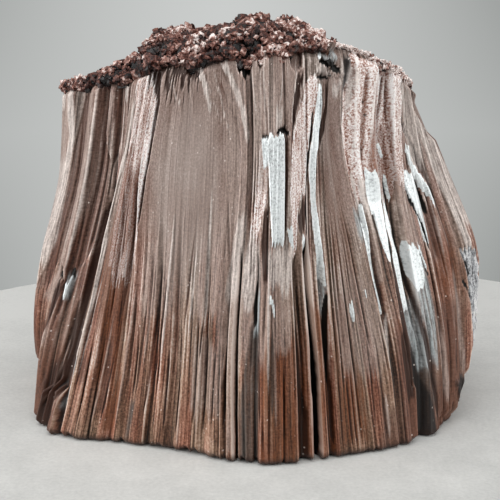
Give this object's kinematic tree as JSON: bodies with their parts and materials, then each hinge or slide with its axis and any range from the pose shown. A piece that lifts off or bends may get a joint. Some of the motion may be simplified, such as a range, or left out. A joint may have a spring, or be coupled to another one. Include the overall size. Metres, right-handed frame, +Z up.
{
  "type": "pencil hematite specimen",
  "caption": "Free-standing mineral specimen: a flaring wedge of fibrous iron ore with a fluted front, split sides, a knobbly granular top and a flat foot.",
  "frame": {"origin": "centre of the bounding box in plan, on the plane that the foot stands on", "axes": "+X to the right across the fluted front, +Y from the front to the back, +Z up along the fibres"},
  "size_m": [0.0808, 0.0492, 0.0721],
  "materials": {
    "hematite": "satin red-brown fibres with silvery metallic cleavage faces, and a dull rough crust on top"
  },
  "bodies": {
    "root": {"pencil_hematite": "hematite"}
  },
  "joints": []
}
